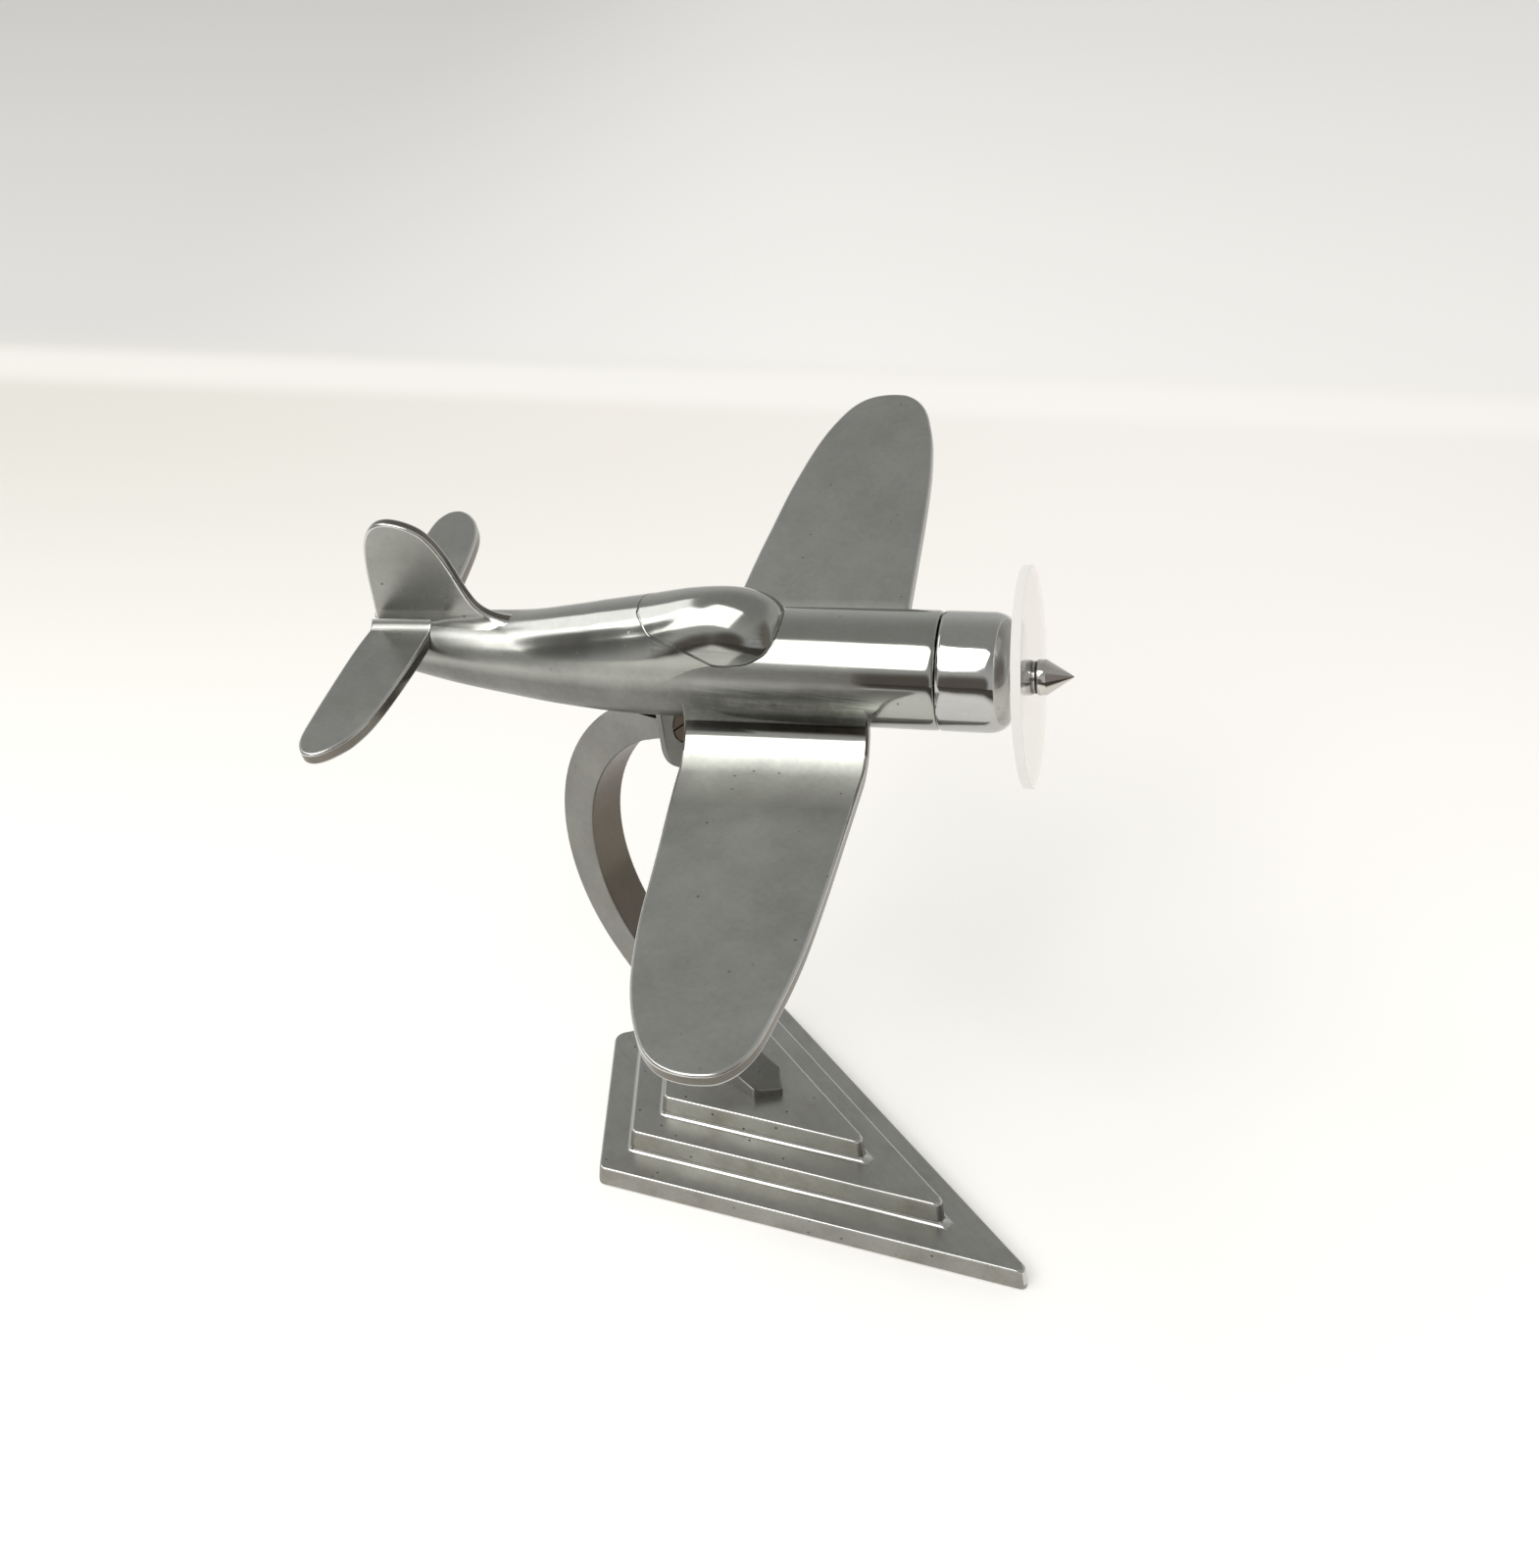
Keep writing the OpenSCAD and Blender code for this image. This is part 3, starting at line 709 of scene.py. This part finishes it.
class OBJECT_OT_sculpture_finishes(bpy.types.Operator):
    """Makes the finishes that the pieces share"""

    bl_idname = "object.sculpture_finishes"
    bl_label = "Finishes"

    def execute(self, context):
        colors = context.scene.sculpture_colors
        group = cast_metal_group()
        turn = (0, 0, radians(-AIR_TURN[2]))
        base_turn = (0, 0, radians(BASE_SIDE_TURN))
        # After the colour: roughness, cloudiness, brushing, pits and staining
        MATERIALS["casting"] = metal("hand-polished casting", group, colors.brushed, 0.38, 0.36, 0.04, 0.6,
                                     turn=turn, polished=0.1, bump=0.02)
        # The rims' dark brown colour is a painted reflection
        MATERIALS["rim"] = metal("rim painted dark", group, colors.rim, 0.22, 0.3, 0.3, 0.5, 0.5, turn)
        # Rounded edges lightened as a painted highlight
        MATERIALS["edge"] = metal("edge painted bright", group, colors.edge, 0.2, 0.1, 0.2, 0.2, 0.0, turn)
        MATERIALS["polished"] = metal("polished cowl", group, colors.polished, 0.09, 0.14, 0.15, 0.25,
                                      turn=turn)
        MATERIALS["cast"] = metal("cast aluminium", group, colors.cast, 0.36, 0.3, 0.45, 0.8, 0.25,
                                  base_turn, 0.06)
        # Risers darker than the level faces as painted shade, with brown stains
        MATERIALS["side"] = metal("base sides", group, colors.side, 0.3, 0.35, 0.3, 1.0, 0.35, base_turn,
                                  0.08, (0.17, 0.13, 0.10))
        MATERIALS["arm"] = metal("rough-cast arm", group, (0.215, 0.215, 0.20), 0.33, 0.4, 0.15, 1.0, 0.25,
                                 bump=0.12)
        # The inner side darkened and browned as painted shade and reflection
        MATERIALS["inner"] = metal("arm painted dark inside", group, (0.15, 0.133, 0.11), 0.36, 0.3, 0.15, 0.8, 0.5,
                                   bump=0.12, stain=(0.15, 0.12, 0.09))
        MATERIALS["machined"] = metal("machined metal", group, (0.56, 0.54, 0.51), 0.08, 0.1, 0.2, 0.0)
        MATERIALS["steel"] = plain("plain steel", (0.35, 0.34, 0.33), 0.35, 1.0)
        MATERIALS["brown"] = plain("dark brown metal", (0.11, 0.085, 0.065), 0.4, 1.0)
        MATERIALS["black"] = plain("blackened steel", (0.08, 0.08, 0.085), 0.45, 1.0)
        MATERIALS["felt"] = plain("green felt", (0.05, 0.12, 0.08), 0.95)
        MATERIALS["clear"] = acrylic("clear acrylic", 0.015, (0.84, 0.825, 0.79))
        MATERIALS["frosted"] = acrylic("frosted acrylic edge", 0.6, (0.22, 0.215, 0.20), 0.0, 0.6)
        return {"FINISHED"}


class OBJECT_OT_sculpture_airplane(bpy.types.Operator):
    """Makes the one-piece airplane casting"""

    bl_idname = "object.sculpture_airplane"
    bl_label = "Airplane casting"

    def execute(self, context):
        sizes = context.scene.sculpture_sizes
        bm = bmesh.new()
        body = cut_away(fuselage_skin(), scribed_tool(sizes.groove))
        to_air = AIR.inverted() @ WORLD
        room = placed(rod(EAR_RECESS, -EAR_RECESS_DEPTH, 12, 64), to_air @ EAR)
        put_in(bm, cut_away(body, room), material=0)
        put_in(bm, self.ear(), to_air @ EAR, 0)
        put_in(bm, cut_away(canopy_skin(), scribed_tool(sizes.groove)), material=0)
        for side in (-1, 1):
            put_in(bm, wing_mesh(side, sizes))
            put_in(bm, stabilizer_mesh(side, sizes))
        put_in(bm, fin_mesh(sizes))
        fields = {"polish": self.polish_at, "streaks": self.streaks_at, "grime_shade_and_highlight": self.grime_shade_and_highlight_at}
        values = {name: [field(vert.co) for vert in bm.verts] for name, field in fields.items()}
        piece = make_piece(placed(bm, AIR), "airplane_casting", "airplane", ["casting", "rim", "edge"],
                           weighted=True)
        for name, numbers in values.items():
            piece.data.attributes.new(name, "FLOAT", "POINT").data.foreach_set("value", numbers)
        return {"FINISHED"}

    def ear(self):
        """The round-bottomed ear under the belly, with its recess and hole."""
        angles = [radians(a) for a in range(180, 361, 5)]
        outline = [(EAR_RADIUS * cos(a), EAR_RADIUS * sin(a) - EAR_OFFSET) for a in angles]
        outline += [(EAR_RADIUS, 12), (-EAR_RADIUS, 12)]
        bm = plate(outline, EAR_THICKNESS, EAR_EDGE)
        bm = cut_away(bm, rod(EAR_RECESS, -EAR_RECESS_DEPTH, 3, 64))
        return cut_away(bm, rod(EAR_HOLE, -3, 1, 32))

    def polish_at(self, place):
        """How brightly the casting is polished: fully up front and on the crown, hardly at the tips."""
        span = abs(place.y)
        if self.on_tail(place):
            return blend_value(0.6, 0.1, fade(max(span - 10, place.z - 26), 0, 12))
        if span > 18.2 and WING_TRAILING < place.x < WING_LEADING - 1:
            return blend_value(1.0, 0.0, fade(span, 22.5, 25.5))
        side = blend_value(0.3, 0.05, fade(place.x, -98, -112))
        round_body = blend_value(side, 0.85, fade(self.height_at(place), 0.5, 0.68))
        body = blend_value(1.0, round_body, fade(place.x, -46, -54))
        return blend_value(body, 0.35, fade(place.x, -145, -178))

    def on_tail(self, place):
        """Whether a place is on the fin or the tailplane, outside the fuselage."""
        beside = abs(place.y) > body_at(-place.x)[1] + 0.4
        return place.x < -150 and (beside or place.z > 24)

    def height_at(self, place):
        """Height on the fuselage, counted from its middle in radii."""
        middle, radius = body_at(-place.x)
        return (place.z - middle) / radius

    def streaks_at(self, place):
        """Where dark polishing streaks lie: on the flanks over the wings and low on the canopy."""
        up = self.height_at(place)
        if abs(place.y) < 21 and WING_TRAILING < place.x < WING_LEADING and up < 0.62:
            return (0.65 * fade(place.x, WING_LEADING, -54) * fade(place.x, WING_TRAILING, -88)
                    * fade(up, 0.36, 0.16))
        if abs(place.y) < 15 and -116 < place.x < -80:
            return 0.25 * fade(place.z, 16, 19) * fade(place.z, 25, 22)
        return 0.0

    def grime_shade_and_highlight_at(self, place):
        """How far grime darkens the tail and painted shade the flanks over the wings; below zero it paints a
        highlight on the wings' roots, for light thrown there by the fuselage.
        """
        span = abs(place.y)
        # Painted highlight on the wings' roots
        if span > 21 and WING_TRAILING < place.x < WING_LEADING:
            return -1.4 * fade(span, 22.5, 25) * fade(span, 46, 31)
        if self.on_tail(place):
            return 0.22
        if span > 21 or place.x > WING_LEADING or place.z > 24:
            return 0.0
        # Painted shade on the flanks, darkest low down beside the wings' roots
        flank_shade = blend_value(0.9, 0.6, fade(place.x, -98, -114))
        return flank_shade * fade(place.x, WING_LEADING, -56) * fade(self.height_at(place), 0.36, 0.11)


def kite_ring(bm, inset, height):
    """The base's outline at a height, every side moved in, its corners rounded."""
    front, back = atan(BASE_HALF / BASE_FRONT), atan(BASE_HALF / BASE_BACK)
    spread = sin(front + back)
    points = []
    for kind, radius, low, high, sign in (("tip", 2.2, front - pi / 2, pi / 2 - front, 1),
                                          ("side", 2.5, pi / 2 - front, pi / 2 + back, 1),
                                          ("rear", 5.0, pi / 2 + back, 3 * pi / 2 - back, 1),
                                          ("side", 2.5, 3 * pi / 2 - back, 3 * pi / 2 + front, -1)):
        moved = inset + radius
        to_front, to_back = BASE_FRONT * sin(front) - moved, BASE_BACK * sin(back) - moved
        if kind == "tip":
            middle = Vector((BASE_FRONT - moved / sin(front), 0))
        elif kind == "rear":
            middle = Vector((-BASE_BACK + moved / sin(back), 0))
        else:
            middle = Vector((to_front * cos(back) - to_back * cos(front),
                             sign * (to_back * sin(front) + to_front * sin(back)))) / spread
        for i in range(13):
            angle = blend_value(low, high, i / 12)
            points.append(middle + radius * Vector((cos(angle), sin(angle))))
    return point_ring(bm, [(*point, height) for point in points])


def base_profile():
    """Inset and height from the felt's pocket up the steps: rounded top edges, filleted feet."""
    rows = [(4.0, 1.6), (4.0, 0.55), (0.6, 0.4), (0.0, 0.9)]
    for inset, low, high in BASE_STEPS:
        if inset:
            rows += [(inset - BASE_FOOT * (1 - sin(a)), low + BASE_FOOT * (1 - cos(a)))
                     for a in (0, 0.25, 0.5, 0.8, 1.1, 1.35)]
        top = inset + 0.5
        rows += [(inset + 0.02, low + BASE_FOOT + 0.1)]
        rows += [(top + 0.8 * (1 - cos(a)), high - 0.8 * (1 - sin(a)))
                 for a in (0.0, 0.3, 0.6, 0.9, 1.2, 1.5)]
    return rows


def base_mesh():
    """The stepped base with the two bores from below."""
    bm = bmesh.new()
    bridge_rings(bm, [kite_ring(bm, *row) for row in base_profile()])
    for x in ARM_SCREWS:
        bore = rod(ARM_SCREW_BORE[0], -1, ARM_SCREW_BORE[1], 48)
        bm = cut_away(bm, placed(bore, Matrix.Translation((x, 0, 0))))
    bm.normal_update()
    # Risers take the darker side finish as painted shade; rounded edges and feet the lighter edge finish as
    # painted highlight
    for face in bm.faces:
        level = abs(face.normal.z)
        face.material_index = 1 if level < 0.2 else 0 if level > 0.98 else 2
    return placed(bm, WORLD)


def arm_mesh():
    """The arm's casting with its long edges rounded and its inner side darkened and browned as painted shade
    and reflection.
    """
    bm = bmesh.new()
    bm.from_mesh(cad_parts["arm_casting"].data)
    bmesh.ops.remove_doubles(bm, verts=bm.verts, dist=2e-6)
    bmesh.ops.dissolve_limit(bm, angle_limit=radians(0.5), verts=bm.verts, edges=bm.edges)
    bm.normal_update()
    long_edges = []
    for edge in bm.edges:
        if len(edge.link_faces) != 2 or edge.calc_face_angle() < radians(30) or edge.calc_length() < 0.0012:
            continue
        middle = (edge.verts[0].co + edge.verts[1].co) / 2
        # The edges of the flat sides from foot to head, and the toe's low ones
        flat = max(abs(face.normal.y) for face in edge.link_faces) > 0.99
        if (flat and 0.0285 < middle.z < 0.172) or (middle.x > 0.03 and 0.029 < middle.z < 0.034):
            long_edges.append(edge)
    round_edges(bm, long_edges, 0.0008)
    # Faces turned towards the curve's middle take the inner finish, painted shade and reflection
    for face in bm.faces:
        middle = face.calc_center_median() - ARM_MIDDLE
        inward = face.normal.x * middle.x + face.normal.z * middle.z < -0.5 * middle.length
        face.material_index = int(inward and abs(face.normal.y) < 0.3 and middle.z > ARM_TOE)
    return bm


class OBJECT_OT_sculpture_stand(bpy.types.Operator):
    """Makes the stepped base and the curved arm"""

    bl_idname = "object.sculpture_stand"
    bl_label = "Stand"

    def execute(self, context):
        make_piece(base_mesh(), "base_casting", "stand", ["cast", "side", "edge"],
                   sharp=40, weighted=True)
        make_piece(arm_mesh(), "arm_casting", "stand", ["arm", "inner"], sharp=40,
                   weighted=True)
        return {"FINISHED"}


class OBJECT_OT_sculpture_nose(bpy.types.Operator):
    """Makes the nose cowl, the disc and the pointed nut"""

    bl_idname = "object.sculpture_nose"
    bl_label = "Nose and propeller"

    def execute(self, context):
        lip = [(13.4 + 5.2 * sin(radians(a)), -13.4 + 7.2 * cos(radians(a))) for a in range(0, 91, 9)]
        rear = [(18.6, -16), (18.6, -22), (18.6, -26.6), (18.54, -27.3), (18.42, -27.75), (18.2, -28.05),
                (18.0, -28.2), (10, -28.25), (10, -36.3), (0, -36.3)]
        cowl = turned([(0, -6.2)] + lip + rear, 128)
        turn = Matrix.Translation((0, 0, 1.25)) @ turned_by(90 + 1.24, "Y")
        make_piece(placed(cowl, AIR @ turn), "nose_cowl", "airplane", ["polished"])
        disc = turned([(4.02, -3), (33.7, -3), (33.9, -2.9), (34, -2.7), (34, -0.3), (33.9, -0.1), (33.7, 0),
                       (4.02, 0), (4.02, -3)], 160)
        for face in disc.faces:
            face.material_index = int(face.calc_center_median().xy.length > 33.6)
        make_piece(placed(disc, PROP), "prop_disc", "propeller", ["clear", "frosted"],
                   sharp=20)
        spinner = turned([(0, 0.75), (5.1, 0.75), (5.35, 0.85), (5.5, 1.05), (5.5, 3.45), (5.42, 3.62),
                          (3.0, 7.35), (0.9, 10.6), (0.45, 11.25), (0.2, 11.6), (0, 11.7)], 96)
        make_piece(placed(spinner, PROP), "spinner_nut", "airplane", ["machined"])
        return {"FINISHED"}


class OBJECT_OT_sculpture_fittings(bpy.types.Operator):
    """Gives the small fittings their finishes"""

    bl_idname = "object.sculpture_fittings"
    bl_label = "Fittings"

    def execute(self, context):
        finishes = {"base_felt": "felt", "arm_screws": "black", "arm_washers": "steel",
                    "belly_screw": "brown", "belly_washer": "steel", "prop_axle": "steel",
                    "thrust_washer": "steel", "hub_bushing": "steel", "front_washer": "black"}
        for node, finish in finishes.items():
            node_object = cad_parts[node]
            node_object.data.materials.clear()
            node_object.data.materials.append(MATERIALS[finish])
        return {"FINISHED"}


# Azimuth, elevation, inner and outer radius in degrees, and tone of what is darker in the room
DARK_PATCHES = [(-128, 12, 16, 34, (0.15, 0.145, 0.14)), (-74, 5, 8, 20, (0.17, 0.148, 0.13)),
                (-10, 18, 14, 34, (0.30, 0.27, 0.25))]
# The windows' light: azimuth and elevation in degrees, width, height, power and colour
LAMPS = {"key window": (-94, 50.5, 1.75, 2.3, 41, (1.0, 0.99, 0.97)),
         "middle window": (-123, 48, 1.2, 0.8, 6, (1, 1, 1)),
         "side window": (-153, 46, 2.0, 1.0, 11, (1, 1, 1))}
LAMP_AIM = Vector((0.04, 0.0, 0.15))
LAMP_DISTANCE = 3.0
# Directions over the floor: away from the camera, across its view, and past it on its right
FLOOR_AWAY = (-0.5155, 0.8567, 0.0)
FLOOR_ACROSS = (0.793, 0.609, 0.0)
FLOOR_OUTSIDE = (0.985, -0.17, 0.0)
CAMERA_PLACE = (0.27533, -0.30899, 0.43856)
CAMERA_HEADING = 37.53
CAMERA_PITCH = 34.79
CAMERA_ROLL = -0.22
LENS = 33.75
SENSOR_HEIGHT = 36


def bearing(azimuth, elevation):
    """The direction that two angles in degrees give."""
    level = cos(radians(elevation))
    return Vector((level * cos(radians(azimuth)), level * sin(radians(azimuth)), sin(radians(elevation))))


def lamp(name, azimuth, elevation, width, height, watts, color):
    """An area lamp that looks at the sculpture from a direction."""
    data = bpy.data.lights.new(name, "AREA")
    data.shape = "RECTANGLE"
    data.size = width
    data.size_y = height
    data.energy = watts
    data.color = color
    direction = bearing(azimuth, elevation)
    light = bpy.data.objects.new(name, data)
    light.location = LAMP_AIM + direction * LAMP_DISTANCE
    light.rotation_euler = direction.to_track_quat("Z", "Y").to_euler()
    bpy.context.scene.collection.objects.link(light)


class OBJECT_OT_sculpture_stage(bpy.types.Operator):
    """Makes the pale floor, the lights and the camera"""

    bl_idname = "object.sculpture_stage"
    bl_label = "Stage"

    def execute(self, context):
        scene = context.scene
        self.make_floor(scene)
        self.make_world(scene)
        for name, settings in LAMPS.items():
            lamp(name, *settings)
        self.make_camera(scene)
        scene.view_settings.view_transform = "Standard"
        return {"FINISHED"}

    def make_floor(self, scene):
        bm = bmesh.new()
        bmesh.ops.create_circle(bm, cap_ends=True, segments=96, radius=6)
        floor = new_object("floor", bm)
        floor.data.materials.append(self.sweep(scene.sculpture_colors.floor))
        floor.location.z = -0.0001

    def make_camera(self, scene):
        data = bpy.data.cameras.new("camera")
        data.sensor_fit = "VERTICAL"
        data.sensor_height = SENSOR_HEIGHT
        data.lens = LENS
        camera = bpy.data.objects.new("camera", data)
        heading = turned_by(CAMERA_HEADING, "Z")
        pitch = turned_by(90 - CAMERA_PITCH, "X")
        roll = turned_by(CAMERA_ROLL, "Z")
        camera.matrix_world = Matrix.Translation(CAMERA_PLACE) @ heading @ pitch @ roll
        scene.collection.objects.link(camera)
        scene.camera = camera

    def sweep(self, color):
        """White paper, greyer far off and darker to the left as painted shade, with a painted highlight band
        across it, and some light of its own for camera, mirrors and glass.

        What lies outside the camera's view is dark to mirrors alone.
        """
        material, n, shader = new_material("white sweep")
        place = n.here()
        away = n.along(place, FLOOR_AWAY)
        across = n.along(place, FLOOR_ACROSS)
        # Painted shade: the far paper and the floor behind the sculpture greyer, and darker to the left
        beyond = n.mix(n.ramp(across, -0.65, 0.15), shaded(color, 0.59), shaded(color, 0.85))
        behind = n.mix(n.ramp(across, -0.7, 0.5), (0.595, 0.58, 0.52, 1), (0.80, 0.77, 0.74, 1))
        near = n.mix(n.ramp(away, -0.2, 0.7), (*color, 1), behind)
        tone = n.mix(n.ramp(away, 0.81, 0.91), near, beyond)
        # Painted highlight: a lighter band across the paper, where the sweep would turn up
        line = n.product(n.ramp(away, 0.74, 0.79), n.ramp(away, 0.87, 0.82), 0.4)
        paper = n.mix(line, tone, (0.93, 0.92, 0.90, 1))
        path = n.add("ShaderNodeLightPath").outputs
        seen = n.math("ADD", path["Is Camera Ray"], path["Is Glossy Ray"], clamp=True)
        seen = n.math("ADD", seen, path["Is Transmission Ray"], clamp=True)
        mirrored = n.math("SUBTRACT", path["Is Glossy Ray"], path["Is Transmission Ray"], clamp=True)
        outside = n.product(n.ramp(n.along(place, FLOOR_OUTSIDE), 0.32, 0.65), mirrored)
        n.fill(shader, {"Emission Color": n.mix(seen, (0, 0, 0, 1), (0.30, 0.295, 0.285, 1)),
                        "Emission Strength": n.ramp(outside, 0.0, 1.0, 1.0, 0.0),
                        "Base Color": n.mix(outside, paper, (0.10, 0.085, 0.075, 1)),
                        "Roughness": 0.85, "Specular IOR Level": 0.1})
        return material

    def make_world(self, scene):
        """A grey room with a few darker patches, which the metal mirrors."""
        world = bpy.data.worlds.new("room")
        world.use_nodes = True
        scene.world = world
        n = Nodes(world.node_tree)
        background = world.node_tree.nodes["Background"]
        direction = n.add("ShaderNodeTexCoord").outputs["Generated"]
        up = n.add("ShaderNodeSeparateXYZ", {"Vector": direction}).outputs["Z"]
        room = n.mix(n.ramp(up, 0.3, 0.95), (0.66, 0.66, 0.65, 1), (0.42, 0.42, 0.41, 1))
        for azimuth, elevation, inner, outer, tone in DARK_PATCHES:
            toward = n.along(direction, bearing(azimuth, elevation))
            inside = n.ramp(toward, cos(radians(outer)), cos(radians(inner)))
            room = n.mix(inside, room, (*tone, 1))
        seen = n.add("ShaderNodeLightPath").outputs["Is Camera Ray"]
        n.fill(background, {"Color": n.mix(seen, room, (0.91, 0.885, 0.86, 1)), "Strength": 1.0})


class VIEW3D_PT_sculpture(bpy.types.Panel):
    """Lists the sculpture's sizes, colours and steps"""

    bl_label = "Airplane desk sculpture"
    bl_space_type = "VIEW_3D"
    bl_region_type = "UI"
    bl_category = "Sculpture"

    def draw(self, context):
        for settings in (context.scene.sculpture_sizes, context.scene.sculpture_colors):
            for name in settings.__annotations__:
                self.layout.prop(settings, name)
        for step in STEPS:
            self.layout.operator(step.bl_idname)


STEPS = (OBJECT_OT_sculpture_finishes, OBJECT_OT_sculpture_airplane, OBJECT_OT_sculpture_stand,
         OBJECT_OT_sculpture_nose, OBJECT_OT_sculpture_fittings, OBJECT_OT_sculpture_stage)
CLASSES = (SculptureSizes, SculptureColors, *STEPS, VIEW3D_PT_sculpture)


def register():
    for item in CLASSES:
        bpy.utils.register_class(item)
    bpy.types.Scene.sculpture_sizes = PointerProperty(type=SculptureSizes)
    bpy.types.Scene.sculpture_colors = PointerProperty(type=SculptureColors)


def unregister():
    del bpy.types.Scene.sculpture_colors
    del bpy.types.Scene.sculpture_sizes
    for item in reversed(CLASSES):
        bpy.utils.unregister_class(item)


def main():
    register()
    bpy.ops.object.sculpture_finishes()
    bpy.ops.object.sculpture_airplane()
    bpy.ops.object.sculpture_stand()
    bpy.ops.object.sculpture_nose()
    bpy.ops.object.sculpture_fittings()
    bpy.ops.object.sculpture_stage()


if __name__ == "__main__":
    main()
